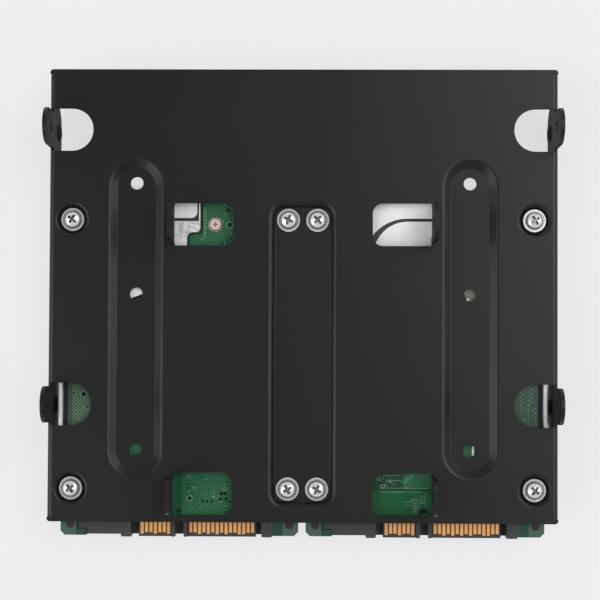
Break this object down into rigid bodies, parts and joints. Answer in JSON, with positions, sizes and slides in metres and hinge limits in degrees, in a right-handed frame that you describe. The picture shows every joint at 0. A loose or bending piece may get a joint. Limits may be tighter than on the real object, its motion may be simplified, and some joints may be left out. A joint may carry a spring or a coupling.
{
  "type": "drive mounting bracket",
  "caption": "Folded black steel bracket for a 5.25-inch bay, with two 2.5-inch drives screwed side by side under its ribbed plate.",
  "frame": {"origin": "centre of the footprint, at the feet of the four ears", "axes": "+Z is the plate's open face, +Y points away from the drives' connectors, +X to the right seen from +Z"},
  "size_m": [0.145, 0.1336, 0.025],
  "materials": {
    "black_film": "matt black insulating sheet",
    "black_steel": "satin black powder coat over folded steel",
    "cast_aluminium": "bright die casting with a machined face",
    "copper_screw": "copper-toned small screws",
    "cover_steel": "brushed stamped lid",
    "gold_contact": "gold-plated contacts",
    "green_board": "green solder mask over copper mesh",
    "grey_plastic": "dark grey moulding",
    "motor_steel": "turned steel",
    "screw_steel": "bright nickel plate",
    "seal_rubber": "black foam seal",
    "small_screw_steel": "bright small screws"
  },
  "bodies": {
    "root": {"bracket_plate": "black_steel", "left_base_casting": "cast_aluminium", "left_board_insulator": "black_film", "left_board_screws": "copper_screw", "left_circuit_board": "green_board", "left_connector_body": "grey_plastic", "left_cover_gasket": "seal_rubber", "left_cover_screws": "small_screw_steel", "left_drive_screws": "screw_steel", "left_power_contacts": "gold_contact", "left_signal_contacts": "gold_contact", "left_spindle_motor": "motor_steel", "left_top_cover": "cover_steel", "right_base_casting": "cast_aluminium", "right_board_insulator": "black_film", "right_board_screws": "copper_screw", "right_circuit_board": "green_board", "right_connector_body": "grey_plastic", "right_cover_gasket": "seal_rubber", "right_cover_screws": "small_screw_steel", "right_drive_screws": "screw_steel", "right_power_contacts": "gold_contact", "right_signal_contacts": "gold_contact", "right_spindle_motor": "motor_steel", "right_top_cover": "cover_steel"}
  },
  "joints": []
}
